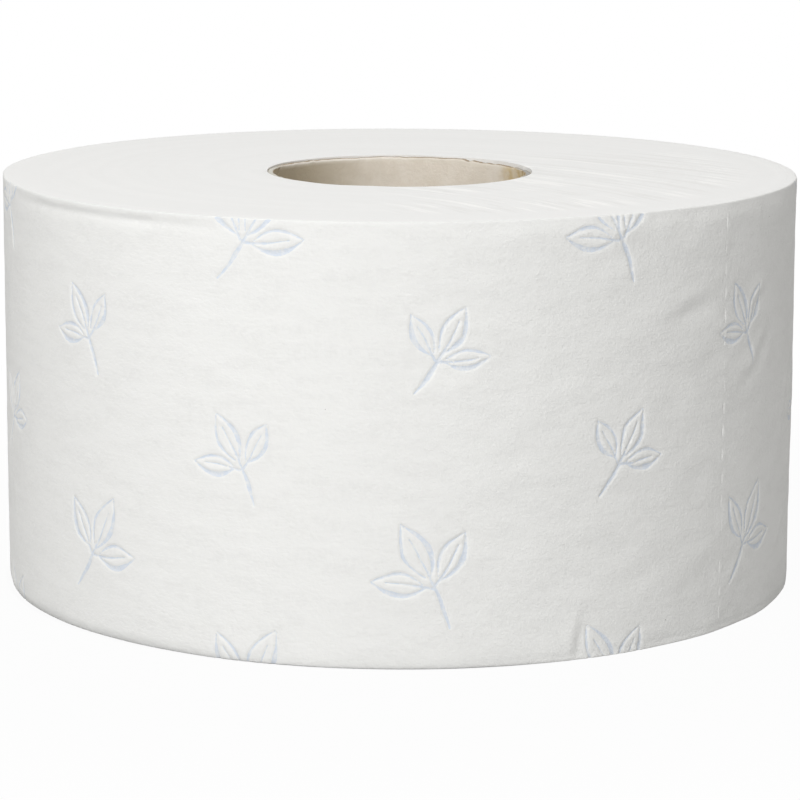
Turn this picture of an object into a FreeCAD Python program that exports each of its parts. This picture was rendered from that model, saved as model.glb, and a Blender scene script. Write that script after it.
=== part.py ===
"""Jumbo toilet paper roll standing on one end: the wound tissue and the board core it is wound on.

Millimetres, +Z up the roll's axis. The origin is the centre of the end it stands on.
Angles around the roll are measured from +X towards +Y.
"""

import FreeCAD, Part

import math
import os

import Sketcher

ORIGIN = FreeCAD.Vector(0, 0, 0)
UP = FreeCAD.Vector(0, 0, 1)

# Driving sizes: name, value in millimetres, degrees or a count, and what it is.
SIZES = [
    ("roll_diameter", 188, "outside diameter over the tail's own sheet"),
    ("web_width", 97, "width of the paper, so the height of the standing roll"),
    ("rim_bevel", 0.5, "bevel that handling leaves on the paper's two outer edges"),
    ("core_bore", 60, "diameter of the hole in the core"),
    ("core_wall", 1.5, "thickness of the core's board"),
    ("core_setback", 0.3, "how far the board ends below the paper at each end"),
    ("tail_step", 0.3, "thickness of the tissue where the outer turn ends"),
    ("tail_angle", 82, "where the outer turn ends, around the roll"),
    ("turn_band_count", 3, "bands of turns that stand back from their neighbours"),
    ("turn_band_depth", 0.3, "how far those bands stand back"),
    ("turn_margin", 3, "plain paper left beside the core and beside the rim"),
    ("sheet_length", 200, "from one tear line to the next, along the paper"),
    ("tear_slit_length", 3.2, "length of one cut in a tear line"),
    ("tear_slit_width", 0.4, "width of one cut in a tear line"),
    ("tear_slit_pitch", 5.2, "from one cut to the next"),
    ("emboss_depth", 0.35, "depth of the pressed sprigs and of the tear cuts"),
    ("sprig_column_pitch", 42, "least distance between columns of sprigs"),
    ("sprig_row_pitch", 49, "distance between sprigs in one column"),
    ("sprig_first_row", 18, "height of the lowest whole sprig's joint"),
    ("sprig_tilt", 28, "lean of a sprig, to the right and left in turn"),
    ("leaflet_length", 14, "length of the middle leaflet"),
    ("leaflet_width", 5.6, "width of the middle leaflet"),
    ("leaflet_gap", 2, "from the joint of the sprig to each leaflet"),
    ("leaflet_spread", 56, "angle of the side leaflets from the middle one"),
    ("side_leaflet_share", 0.86, "side leaflet's size, as a share of the middle one"),
    ("small_sprig_share", 0.84, "size of every second sprig in a column"),
]

CUT_PAST = 2.0  # how far a cutting shape stands out of the face that it cuts


def make_sheet(doc):
    """The spreadsheet of driving sizes, one alias for each."""
    sheet = doc.addObject("Spreadsheet::Sheet", "Sizes")
    for row, (alias, value, meaning) in enumerate(SIZES, start=1):
        sheet.set(f"A{row}", meaning)
        sheet.set(f"B{row}", str(value))
        sheet.setAlias(f"B{row}", alias)
    doc.recompute()
    return sheet


def origin_plane(body, role):
    """One of a body's own origin planes."""
    return next(f for f in body.Origin.OriginFeatures if f.Role == role)


def new_sketch(body, name, role):
    """An empty sketch on one of the body's origin planes."""
    sketch = body.newObject("Sketcher::SketchObject", name)
    sketch.AttachmentSupport = [(origin_plane(body, role), "")]
    sketch.MapMode = "FlatFace"
    return sketch


def bind_constraint(sketch, name, kind, *arguments, formula):
    """A named dimension of a sketch that follows the spreadsheet."""
    index = sketch.addConstraint(Sketcher.Constraint(kind, *arguments))
    sketch.renameConstraint(index, name)
    sketch.setExpression(f"Constraints.{name}", formula)


def add_half_turn_section(sketch, sizes, outer_radius, radius_formula):
    """Half of the roll cut through its axis, with its two outer corners bevelled."""
    height = sizes.web_width
    bevel = sizes.rim_bevel
    corners = [
        (0, 0),
        (outer_radius - bevel, 0),
        (outer_radius, bevel),
        (outer_radius, height - bevel),
        (outer_radius - bevel, height),
        (0, height),
    ]
    points = [FreeCAD.Vector(x, z, 0) for x, z in corners]
    foot, foot_bevel, side, head_bevel, head, axis = (
        sketch.addGeometry(Part.LineSegment(first, second))
        for first, second in zip(points, points[1:] + points[:1])
    )
    start, end, sketch_origin = 1, 2, (-1, 1)
    loop = (foot, foot_bevel, side, head_bevel, head, axis, foot)
    for before, after in zip(loop, loop[1:]):
        sketch.addConstraint(Sketcher.Constraint("Coincident", before, end, after, start))
    sketch.addConstraint(Sketcher.Constraint("Coincident", foot, start, *sketch_origin))
    for level in (foot, head):
        sketch.addConstraint(Sketcher.Constraint("Horizontal", level))
    for upright in (side, axis):
        sketch.addConstraint(Sketcher.Constraint("Vertical", upright))
    for name, kind, low_end, high_end in (
        ("FootBevelAcross", "DistanceX", (foot_bevel, start), (foot_bevel, end)),
        ("FootBevelUp", "DistanceY", (foot_bevel, start), (foot_bevel, end)),
        ("HeadBevelAcross", "DistanceX", (head_bevel, end), (head_bevel, start)),
        ("HeadBevelUp", "DistanceY", (head_bevel, start), (head_bevel, end)),
    ):
        bind_constraint(sketch, name, kind, *low_end, *high_end, bevel, formula="Sizes.rim_bevel")
    bind_constraint(
        sketch, "OuterRadius", "DistanceX", *sketch_origin, side, start, outer_radius, formula=radius_formula
    )
    bind_constraint(
        sketch, "Height", "DistanceY", *sketch_origin, head, end, height, formula="Sizes.web_width"
    )


def half_turn(upper):
    """Centre and loss of radius of one half of the outer turn, both as shares of the tail's step.

    The lower half carries the tail. The halves meet level and tangent opposite the tail, and
    come back to it one step apart.
    """
    return (-1 / 4, 3 / 4) if upper else (1 / 4, 1 / 4)


def add_half_turn(body, sizes, upper):
    """Half of the roll, turned about its own centre."""
    centre_share, loss_share = half_turn(upper)
    side = "Upper" if upper else "Lower"
    sketch = new_sketch(body, f"{side}Section", "XZ_Plane")
    sketch.setExpression("AttachmentOffset.Base.x", f"Sizes.tail_step * {centre_share}")
    radius = sizes.roll_diameter / 2 - sizes.tail_step * loss_share
    radius_formula = f"Sizes.roll_diameter / 2 - Sizes.tail_step * {loss_share}"
    add_half_turn_section(sketch, sizes, radius, radius_formula)
    turned = body.newObject("PartDesign::Revolution", f"{side}HalfTurn")
    turned.Profile = sketch
    turned.ReferenceAxis = (sketch, ["V_Axis"])
    turned.Angle = 180
    turned.Reversed = not upper
    return turned


def add_round_pocket(body, name, formula):
    """A round hole up through the whole body, on the roll's axis."""
    sketch = new_sketch(body, f"{name}Circle", "XY_Plane")
    circle = sketch.addGeometry(Part.Circle(ORIGIN, UP, 1))
    sketch.addConstraint(Sketcher.Constraint("Coincident", circle, 3, -1, 1))
    bind_constraint(sketch, "Radius", "Radius", circle, 1, formula=formula)
    pocket = body.newObject("PartDesign::Pocket", name)
    pocket.Profile = sketch
    pocket.Type = "ThroughAll"
    pocket.Reversed = True
    return pocket


def make_winding(doc, sizes):
    """The wound paper before any pressing or cutting: a spiral outside, a step at the tail, a round bore."""
    body = doc.addObject("PartDesign::Body", "Winding")
    add_half_turn(body, sizes, upper=True)
    add_half_turn(body, sizes, upper=False)
    doc.recompute()
    whole_volume = body.Shape.Volume
    add_round_pocket(body, "CoreSeat", "Sizes.core_bore / 2 + Sizes.core_wall")
    doc.recompute()
    seat_radius = sizes.core_bore / 2 + sizes.core_wall
    seat_volume = math.pi * seat_radius**2 * sizes.web_width
    if abs(whole_volume - body.Shape.Volume - seat_volume) > 0.001 * seat_volume:
        raise RuntimeError("the core's seat was not cut through the winding")
    return body


def make_outer_skin_core(sizes, depth):
    """The space that nothing pressed into the outside reaches: the spiral outside taken in by depth."""
    height = sizes.web_width + 2 * sizes.sprig_row_pitch
    below = -sizes.sprig_row_pitch
    halves = []
    for upper in (True, False):
        centre_share, loss_share = half_turn(upper)
        centre = FreeCAD.Vector(sizes.tail_step * centre_share, 0, below)
        radius = sizes.roll_diameter / 2 - sizes.tail_step * loss_share - depth
        half = Part.makeCylinder(radius, height, centre, UP, 180)
        if not upper:
            half.rotate(centre, UP, 180)
        halves.append(half)
    return halves[0].fuse(halves[1])


def spiral_edges(first_radius, pitch, turns):
    """A flat spiral as half circles about two centres in turn, each tangent to the next."""
    edges = []
    for half in range(2 * turns):
        upper = half % 2 == 0
        centre = FreeCAD.Vector(-pitch / 4 if upper else pitch / 4, 0, 0)
        radius = first_radius + pitch / 4 + half * pitch / 2
        start = 0 if upper else 180
        edges.append(Part.makeCircle(radius, centre, UP, start, start + 180))
    return edges


def make_turn_bands(sizes):
    """A cutter for the top end: every second band of turns is cut back, as a long flat spiral."""
    inner = sizes.core_bore / 2 + sizes.core_wall + sizes.turn_margin
    outer = sizes.roll_diameter / 2 - sizes.turn_margin
    turns = int(sizes.turn_band_count)
    pitch = (outer - inner) / (turns + 0.5)
    width = pitch / 2
    edges = spiral_edges(inner, pitch, turns) + spiral_edges(inner + width, pitch, turns)
    for start in (inner, inner + turns * pitch):
        edges.append(Part.makeLine(FreeCAD.Vector(start, 0, 0), FreeCAD.Vector(start + width, 0, 0)))
    band = Part.Face(Part.Wire(Part.__sortEdges__(edges)))
    band.translate(FreeCAD.Vector(0, 0, sizes.web_width - sizes.turn_band_depth))
    return band.extrude(UP * (sizes.turn_band_depth + CUT_PAST))


def leaflet_face(length, width, gap, spread):
    """A kite-shaped leaflet pointing away from the joint, at an angle from straight up."""
    widest = gap + length / 2
    corners = [(0, gap), (width / 2, widest), (0, gap + length), (-width / 2, widest), (0, gap)]
    face = Part.Face(Part.makePolygon([FreeCAD.Vector(x, y, 0) for x, y in corners]))
    face.rotate(ORIGIN, UP, spread)
    return face


def sprig_faces(sizes):
    """One sprig, flat, with its joint at the origin: a middle leaflet and one to each side."""
    share = sizes.side_leaflet_share
    length, width, gap = sizes.leaflet_length, sizes.leaflet_width, sizes.leaflet_gap
    faces = [leaflet_face(length, width, gap, 0)]
    for spread in (sizes.leaflet_spread, -sizes.leaflet_spread):
        faces.append(leaflet_face(length * share, width * share, gap, spread))
    return faces


def wrap_on_roll(shape, sizes, angle, height):
    """Puts a flat shape against the roll's outside, upright, its origin at an angle and a height."""
    outward = FreeCAD.Vector(math.cos(angle), math.sin(angle), 0)
    along = UP.cross(outward)
    frame = FreeCAD.Matrix(
        along.x, UP.x, outward.x, 0,
        along.y, UP.y, outward.y, 0,
        along.z, UP.z, outward.z, 0,
        0, 0, 0, 1,
    )
    placed = shape.copy()
    placed.Placement = FreeCAD.Placement(frame).multiply(placed.Placement)
    placed.translate(outward * (sizes.roll_diameter / 2) + UP * height)
    return placed


def sprig_places(sizes):
    """Angle back from the tail, height, tilt and size of each sprig, cut ones included."""
    columns = int(math.pi * sizes.roll_diameter // sizes.sprig_column_pitch)
    reach = sizes.leaflet_length + sizes.leaflet_gap
    for column in range(columns):
        angle = -(column + 0.5) * 2 * math.pi / columns
        shift = sizes.sprig_row_pitch / 2 if column % 2 else 0
        lowest = math.ceil((-reach - sizes.sprig_first_row - shift) / sizes.sprig_row_pitch)
        highest = math.floor((sizes.web_width + reach - sizes.sprig_first_row - shift) / sizes.sprig_row_pitch)
        for row in range(lowest, highest + 1):
            height = sizes.sprig_first_row + shift + row * sizes.sprig_row_pitch
            tilt = sizes.sprig_tilt if (column // 2 + row) % 2 else -sizes.sprig_tilt
            share = sizes.small_sprig_share if (column + row) % 2 else 1
            yield angle, height, tilt, share


def make_sprig_prisms(sizes):
    """A prism through the roll's outside for each leaflet."""
    half_width = sizes.leaflet_length + sizes.leaflet_gap
    roll_radius = sizes.roll_diameter / 2
    bulge = roll_radius - math.sqrt(roll_radius**2 - half_width**2)
    inward = bulge + sizes.emboss_depth + sizes.tail_step + CUT_PAST
    prisms = []
    for angle, height, tilt, share in sprig_places(sizes):
        for face in sprig_faces(sizes):
            leaning = face.copy()
            leaning.scale(share, ORIGIN)
            leaning.rotate(ORIGIN, UP, tilt)
            placed = wrap_on_roll(leaning, sizes, angle, height)
            outward = FreeCAD.Vector(math.cos(angle), math.sin(angle), 0)
            placed.translate(outward * -inward)
            prisms.append(placed.extrude(outward * (inward + CUT_PAST)))
    return prisms


def make_tear_slits(sizes):
    """A row of short upright cuts at each tear line that the outer turn shows."""
    slits = []
    roll_radius = sizes.roll_diameter / 2
    lines = int(math.pi * sizes.roll_diameter // sizes.sheet_length)
    count = int((sizes.web_width - sizes.tear_slit_length) // sizes.tear_slit_pitch)
    first = (sizes.web_width - (count - 1) * sizes.tear_slit_pitch - sizes.tear_slit_length) / 2
    for line in range(1, lines + 1):
        angle = -line * sizes.sheet_length / roll_radius
        for slit in range(count):
            box = Part.makeBox(2 * CUT_PAST, sizes.tear_slit_width, sizes.tear_slit_length)
            bottom = first + slit * sizes.tear_slit_pitch
            box.translate(FreeCAD.Vector(roll_radius - CUT_PAST, -sizes.tear_slit_width / 2, bottom))
            box.rotate(ORIGIN, UP, math.degrees(angle))
            slits.append(box)
    return slits


def make_pressing(sizes):
    """Everything pressed or cut into the outer turn, all to one depth below the spiral outside."""
    first, *others = make_sprig_prisms(sizes) + make_tear_slits(sizes)
    return first.fuse(others).cut(make_outer_skin_core(sizes, sizes.emboss_depth))


def add_feature(doc, name, shape):
    """A shape worked out in this file, as an object of the document."""
    feature = doc.addObject("Part::Feature", name)
    feature.Shape = shape
    return feature


def make_paper_roll(doc, sizes):
    """The wound paper: one solid, with its turned-back bands, tail, sprigs and tear lines."""
    winding = make_winding(doc, sizes)
    tools = add_feature(doc, "Marks", Part.Compound([make_turn_bands(sizes), make_pressing(sizes)]))
    roll = doc.addObject("Part::Cut", "PaperRoll")
    roll.Base = winding
    roll.Tool = tools
    roll.Label = "paper_roll"
    roll.setExpression("Placement.Rotation.Angle", "Sizes.tail_angle")
    doc.recompute()
    if roll.Shape.Volume >= winding.Shape.Volume:
        raise RuntimeError("nothing was pressed or cut into the paper")
    return roll


def make_core_tube(doc):
    """The board core: a plain tube, standing back a little from both ends of the paper."""
    body = doc.addObject("PartDesign::Body", "CoreTube")
    body.Label = "core_tube"
    sketch = new_sketch(body, "CoreRing", "XY_Plane")
    bore = sketch.addGeometry(Part.Circle(ORIGIN, UP, 1))
    outside = sketch.addGeometry(Part.Circle(ORIGIN, UP, 2))
    for circle in (bore, outside):
        sketch.addConstraint(Sketcher.Constraint("Coincident", circle, 3, -1, 1))
    bind_constraint(sketch, "Bore", "Radius", bore, 1, formula="Sizes.core_bore / 2")
    bind_constraint(
        sketch, "Outside", "Radius", outside, 2, formula="Sizes.core_bore / 2 + Sizes.core_wall"
    )
    tube = body.newObject("PartDesign::Pad", "CoreLength")
    tube.Profile = sketch
    tube.setExpression("Length", "Sizes.web_width - 2 * Sizes.core_setback")
    body.setExpression("Placement.Base.z", "Sizes.core_setback")
    doc.recompute()
    return body


def check_and_write(doc, parts):
    """Stops on any failed object or unsound solid, and then writes one file for each part."""
    for item in doc.Objects:
        if "Invalid" in item.State or "Error" in item.State:
            raise RuntimeError(f"{item.Name} failed: {item.State}")
    for part in parts:
        shape = part.Shape
        if shape.isNull() or not shape.isValid() or len(shape.Solids) != 1:
            raise RuntimeError(f"{part.Label} is not one sound solid")
    os.makedirs("parts", exist_ok=True)
    for part in parts:
        part.Shape.exportStep(f"parts/{part.Label}.step")
        box = part.Shape.BoundBox
        print(
            f"{part.Label}: {part.Shape.Volume:.0f} mm3, {len(part.Shape.Faces)} faces,"
            f" {box.XLength:.2f} x {box.YLength:.2f} x {box.ZLength:.2f} mm"
        )


def main():
    doc = FreeCAD.newDocument("toilet_paper_roll")
    sizes = make_sheet(doc)
    parts = [make_paper_roll(doc, sizes), make_core_tube(doc)]
    check_and_write(doc, parts)


main()
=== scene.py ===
# Jumbo toilet paper roll standing on one end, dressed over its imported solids.
# Shapes are worked out in millimetres and stored in metres. Angles run from +X towards +Y.
import math

import bmesh
import bpy
import numpy as np
from mathutils import Matrix, Vector
from mathutils.geometry import delaunay_2d_cdt


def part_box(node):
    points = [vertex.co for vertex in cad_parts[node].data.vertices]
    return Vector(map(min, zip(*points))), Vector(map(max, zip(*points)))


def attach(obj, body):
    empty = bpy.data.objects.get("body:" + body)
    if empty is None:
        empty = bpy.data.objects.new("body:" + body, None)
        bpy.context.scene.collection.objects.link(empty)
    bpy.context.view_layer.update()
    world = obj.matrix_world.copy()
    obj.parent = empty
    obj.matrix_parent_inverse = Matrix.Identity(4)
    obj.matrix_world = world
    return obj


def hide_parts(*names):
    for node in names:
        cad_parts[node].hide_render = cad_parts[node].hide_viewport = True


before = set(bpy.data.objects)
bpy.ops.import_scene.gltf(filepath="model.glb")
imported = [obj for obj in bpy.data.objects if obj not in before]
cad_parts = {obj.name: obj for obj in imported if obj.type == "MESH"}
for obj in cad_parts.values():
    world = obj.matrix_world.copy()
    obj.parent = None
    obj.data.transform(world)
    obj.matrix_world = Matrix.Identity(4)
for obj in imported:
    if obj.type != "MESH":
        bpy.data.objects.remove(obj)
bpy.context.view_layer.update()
scene = bpy.context.scene
mmPerMetre = 1000.0
print("frame loaded")

# The whole roll. Height and core come from the solids, the rest repeats their driving sizes.
rollLow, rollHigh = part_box("paper_roll")
coreLow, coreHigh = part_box("core_tube")
roll = {
    "radius": 94.0,  # over the end of the outer turn
    "coreRadius": (coreHigh.x - coreLow.x) / 2 * mmPerMetre,
    "height": rollHigh.z * mmPerMetre,
    "tailStep": 0.3,  # thickness of tissue where the outer turn ends
    "tailAngle": 82.0,  # where it ends, round the back
    "endLift": 0.04,  # unevenness of the sawn ends
    "creep": ((2.5, 1.9, 0.5), (6, 6.5, 0.8)),  # their bands: climb in a turn, width, share
    "dishing": 26,
    "topSeed": 31,
    "footSeed": 35,
}
around = 2 * math.pi * roll["radius"]


# Numbers that every piece uses


def blendStep(low, high, value):
    share = np.clip((value - low) / (high - low), 0, 1)
    return share * share * (3 - 2 * share)


def bell(value, centre, width):
    return np.exp(-(((value - centre) / width) ** 2))


def softNoise(across, up, cellAcross, cellUp, seed):
    # smooth random field from -1 to 1 on a lattice of cells, the same on every run
    count = 256
    lattice = np.random.default_rng(seed).uniform(-1, 1, (count, count))
    a = across / cellAcross
    b = up / cellUp
    i = np.floor(a).astype(int)
    j = np.floor(b).astype(int)
    fa = blendStep(0, 1, a - i)
    fb = blendStep(0, 1, b - j)
    left, right = i % count, (i + 1) % count
    near, far = [lattice[left, k % count] * (1 - fa) + lattice[right, k % count] * fa for k in (j, j + 1)]
    return near * (1 - fb) + far * fb


def noiseLine(along, cell, seed, row=0):
    # the same along one line
    return softNoise(along, along * 0 + row, cell, 1, seed)


def frontAngle(along):
    # degrees round from the front of the roll, to the right, for a place along the outer turn
    angle = roll["tailAngle"] - np.degrees(along / roll["radius"]) + 90
    return (angle + 180) % 360 - 180


def endRise(x, y, up):
    # unevenness of a sawn end: bands of turns that crept along, and a little dishing
    # up is 1 for the top and -1 for the foot, which stays above the floor
    seed = roll["topSeed"] if up > 0 else roll["footSeed"]
    radius = np.hypot(x, y)
    turn = np.arctan2(y, x) / (2 * math.pi)
    bands = 0
    for step, (climb, width, share) in enumerate(roll["creep"]):
        bands = bands + noiseLine(radius + climb * turn, width, seed + step, 0.5) * share
    rise = roll["endLift"] * (bands + softNoise(x, y, roll["dishing"], roll["dishing"], seed + 2))
    return rise if up > 0 else np.abs(rise)


def makePiece(name, points, faces, materials, kinds=None, sharpAngle=40):
    mesh = bpy.data.meshes.new(name)
    mesh.from_pydata((np.asarray(points) / mmPerMetre).tolist(), [], faces)
    if kinds is not None:
        mesh.polygons.foreach_set("material_index", np.asarray(kinds, dtype=np.int32))
    tool = bmesh.new()
    tool.from_mesh(mesh)
    bmesh.ops.recalc_face_normals(tool, faces=tool.faces)
    tool.to_mesh(mesh)
    tool.free()
    for material in materials:
        mesh.materials.append(material)
    mesh.polygons.foreach_set("use_smooth", np.ones(len(mesh.polygons), dtype=bool))
    mesh.set_sharp_from_angle(angle=math.radians(sharpAngle))
    piece = bpy.data.objects.new(name, mesh)
    scene.collection.objects.link(piece)
    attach(piece, "root")
    print(name, len(mesh.vertices), "points,", len(mesh.polygons), "faces")
    return piece


def store(piece, name, values, kind="FLOAT", field="value"):
    attribute = piece.data.attributes.new(name, kind, "POINT")
    attribute.data.foreach_set(field, np.asarray(values, dtype=np.float32).ravel())


def turnedBy(degrees):
    # a matrix that turns rows of points when they are multiplied by it
    angle = math.radians(degrees)
    return np.array([[math.cos(angle), math.sin(angle)], [-math.sin(angle), math.cos(angle)]])


# Sprigs pressed into the outer turn, laid out as on the solid


sprigs = {
    "columns": 14,
    "rowPitch": 49.0,
    "firstRow": 18.0,
    "tilt": 28.0,
    "leafletLength": 14.0,
    "leafletWidth": 5.6,
    "leafletGap": 2.0,
    "leafletSpread": 56.0,
    "sideShare": 0.86,
    "smallShare": 0.84,
    "stemLength": 9.5,
    "stemBend": 1.5,
    "stemStart": 0.8,  # how far above the joint it begins
    "boldLine": (0.16, 0.58),  # half width of the heavier outline at its ends and its middle
    "fineLine": (0.15, 0.35),
    "ribLine": 0.29,
    "stemLine": (0.19, 0.28),  # half width at its ends, and how much more in between
    "ribShare": 0.72,  # how far up the leaflet the rib goes
    "ribBow": 0.05,
    "unsteady": 0.16,  # how far a drawn line strays
    "strayLength": 3.5,
    "pressure": 0.22,  # how much its width changes
    "pressureLength": 2.2,
    "depth": 0.16,  # how far a line is pressed in
    "shoulder": 0.055,  # how far the tissue rises beside it
    "inkRamp": 0.6,  # width over which the stored ink runs from none to full
}
tileWidth = around / sprigs["columns"]


def lineAlong(shape, width, spacing):
    # points every so often along a line given as a function from 0 to 1, with its half widths
    t = np.linspace(0, 1, 120)  # fine steps, to measure its length with
    path = shape(t)
    lengths = np.concatenate([[0], np.cumsum(np.hypot(*np.diff(path, axis=0).T))])
    count = max(3, int(lengths[-1] / spacing) + 1)
    t = np.interp(np.linspace(0, lengths[-1], count), lengths, t)
    run = t * lengths[-1]
    place = run + path[0].sum() * 7.3  # so that each line strays in its own way
    stray = np.stack([noiseLine(place, sprigs["strayLength"], 21, k) for k in (0, 9)], axis=1)
    pressure = 1 + sprigs["pressure"] * noiseLine(place, sprigs["pressureLength"], 22, 4)
    return shape(t) + sprigs["unsteady"] * stray, width(t) * pressure


def leafletLines(length, width, gap, spread):
    # the two sides and the rib of one leaflet, standing on the joint and then turned
    turned = turnedBy(spread)

    def side(sign, start, end):
        def shape(t):
            s = start + (end - start) * t
            out = sign * width / 2 * np.sin(math.pi * s**0.94)  # widest a little above the middle
            return np.stack([out, gap + length * s], axis=1) @ turned

        return shape

    def rib(t):
        bow = sprigs["ribBow"] * width * np.sin(math.pi * t)
        up = gap * 0.4 + (length * sprigs["ribShare"] + gap * 0.6) * t
        return np.stack([bow, up], axis=1) @ turned

    def swelling(line, power):
        return lambda t: line[0] + (line[1] - line[0]) * np.sin(math.pi * t) ** power

    bold = swelling(sprigs["boldLine"], 1.3)
    fine = swelling(sprigs["fineLine"], 1)
    taper = lambda t: sprigs["ribLine"] * (1 - 0.5 * t)
    heavySide = -1 if spread > 0 else 1
    return [
        (side(heavySide, 0.02, 0.97), bold),
        (side(-heavySide, 0.07, 0.99), fine),
        (rib, taper),
    ]


def sprigLines(share, tilt):
    # every line of one sprig about its joint, as shape and half width
    leaned = share * turnedBy(tilt)
    length, width, gap = sprigs["leafletLength"], sprigs["leafletWidth"], sprigs["leafletGap"]
    lines = leafletLines(length, width, gap, 0)
    for spread in (sprigs["leafletSpread"], -sprigs["leafletSpread"]):
        lines += leafletLines(length * sprigs["sideShare"], width * sprigs["sideShare"], gap, spread)
    start, bend = sprigs["stemStart"], sprigs["stemBend"]
    stem = lambda t: np.stack([-bend * t**2, start - (sprigs["stemLength"] + start) * t], axis=1)
    thin, more = sprigs["stemLine"]
    lines.append((stem, lambda t: thin + more * np.sin(math.pi * t**0.7)))
    return [((lambda t, shape=shape: shape(t) @ leaned), width) for shape, width in lines]


def tileLines(column):
    # the lines in one upright strip of the outer turn, x from its middle and z up
    lines = []
    shift = sprigs["rowPitch"] / 2 if column % 2 else 0
    reach = sprigs["leafletLength"] + sprigs["leafletGap"]
    pitch, first = sprigs["rowPitch"], sprigs["firstRow"]
    lowest = math.ceil((-reach - first - shift) / pitch)
    highest = math.floor((roll["height"] + reach - first - shift) / pitch)
    for row in range(lowest, highest + 1):
        joint = np.array([0, first + shift + row * pitch])
        tilt = sprigs["tilt"] if (column // 2 + row) % 2 else -sprigs["tilt"]
        share = sprigs["smallShare"] if (column + row) % 2 else 1
        for shape, width in sprigLines(share, tilt):
            lines.append(((lambda t, shape=shape, joint=joint: shape(t) + joint), width))
    return lines


# Tear lines: rows of short cuts whose lips catch the light


tear = {
    "sheetLength": 200.0,
    "cutLength": 3.2,
    "cutPitch": 5.2,
    "depth": 0.12,  # how far a cut is pressed in
    "lip": 0.11,  # how far its lip stands out
    "ridge": 0.07,  # a soft rise along the whole line
    "wander": 0.3,  # how far a cut is off its place along the line
    "aside": 0.12,  # and across it
}


def tearPlaces(column):
    # where the tear lines cross one strip, x from its middle
    middle = (column + 0.5) * tileWidth
    lines = int(around // tear["sheetLength"])
    places = [middle - line * tear["sheetLength"] for line in range(1, lines + 1)]
    return [x for x in places if abs(x) < tileWidth / 2]


def tearCuts(column):
    # each cut of those lines as a short upright line, a little uneven
    cuts = []
    count = int((roll["height"] - tear["cutLength"]) // tear["cutPitch"])
    first = (roll["height"] - (count - 1) * tear["cutPitch"] - tear["cutLength"]) / 2
    rng = np.random.default_rng(column + 70)
    for x in tearPlaces(column):
        for cut in range(count):
            low = first + cut * tear["cutPitch"] + rng.uniform(-tear["wander"], tear["wander"])
            side = x + rng.uniform(-tear["aside"], tear["aside"])
            length = tear["cutLength"] * rng.uniform(0.75, 1.0)
            cuts.append((side, low, low + length, rng.uniform(0.3, 1.0)))
    return cuts


# The outer turns: everything seen from the side, and the rounded rims


skin = {
    "thickness": 2.4,
    "rimRound": 0.3,
    "rimRows": 3,
    "closeRows": 6,  # closer rows of points just inside each rim
    "closePitch": 0.55,
    "innerCount": 360,
    "gridPitch": 1.35,
    "gridStray": 0.16,
    "clearOfLines": 0.95,  # no point of the grid comes nearer to a drawn line
    "clearOfCuts": 0.8,
    "leastPitch": 0.13,
    "waves": [  # height, where taut, more where loose, cell across, cell up, seed
        (0.10, 1, 0, 36, 24, 11),
        (0.035, 1, 1.6, 10, 5, 12),
        (0.115, 0, 1, 7, 6, 18),
        (0.02, 1, 1.3, 4.5, 2.4, 13),
    ],
    "foldHeight": 0.03,  # slanting folds, in patches
    "looseFolds": 0.115,  # more of them where the outer turn lies loose
    "rimWave": 0.08,
    "slack": (-10, 24, 95, 125),  # where it grows loose and taut again, in degrees from the front
    "settle": (47, 66),  # and where it lies closer in between
    "settleShare": 0.7,
    "lip": (-69, -55, -41, -19),  # the stretch of the front rim that is turned out
    "lipOut": 0.40,
    "lipGroove": 0.90,
    "tailLift": 0.38,  # how far the free end of the outer turn stands off
    "tailCurl": 3.5,
    "tailDip": 0.12,  # how far the turn under it is pressed in
    "footIn": 0.10,  # how far the side draws in at the foot
    "footInLeft": 0.30,  # and more to the left
    "footLeft": (-5, -40),
    "footReach": 1.2,
    "softRim": (-5, 25, 62, 84),  # the stretch of the rim that leans in
    "softRimIn": 0.75,
    "softRimReach": 2.4,
    "groove": (5, 25, 70, 85),  # the stretch with a groove above the foot
    "grooveDepth": 0.16,
    "creases": [  # degrees from the front, height, half length, slant, half width, depth
        (-47, 89, 2, -25, 0.7, 0.22),
        (-43, 86, 1.6, 30, 0.6, 0.14),
        (25, 5, 4.5, 80, 1.3, 0.5),
        (60, 93.5, 2, 78, 0.5, 0.26),
        (43, 74.5, 6, 14, 1.8, 0.4),
        (60, 74, 4.5, 35, 1.6, 0.34),
        (61, 62, 5.5, 42, 1.8, 0.36),
        (57, 57, 5, 25, 1.7, 0.3),
        (74, 48, 9, 60, 1.9, 0.5),
        (78, 33, 8, 52, 1.8, 0.5),
        (73, 17, 6.5, 38, 1.6, 0.38),
        (-76, 30, 9, -62, 1.6, 0.24),
        (150, 60, 7, 40, 1.5, 0.25),
        (-140, 30, 8, -35, 1.6, 0.25),
        (118, 12, 6, 80, 1, 0.3),
        (-112, 82, 5, 20, 1.2, 0.22),
    ],
}


def stretch(name, angle):
    # 1 over a stretch of the side, with soft ends
    low, lowFull, highFull, high = skin[name]
    return blendStep(low, lowFull, angle) * blendStep(high, highFull, angle)


def looseness(along):
    # 1 where the outer turn lies loose, 0 where it is taut
    angle = frontAngle(along)
    return stretch("slack", angle) * (1 - skin["settleShare"] * blendStep(*skin["settle"], angle))


def creaseRelief(angle, height):
    # sharp folds, each with a softer rise beside it
    relief = 0
    for place, level, reach, slope, width, depth in skin["creases"]:
        aside = np.radians((angle - place + 180) % 360 - 180) * roll["radius"]
        cosine, sine = math.cos(math.radians(slope)), math.sin(math.radians(slope))
        run = aside * cosine + (height - level) * sine
        across = -aside * sine + (height - level) * cosine
        across = across + 0.04 * run**2 / reach  # a little bowed
        fold = 0.7 * bell(across, 1.5 * width, width) - bell(across, 0, width)
        relief = relief + depth * bell(run, 0, reach) * fold
    return relief


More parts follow.
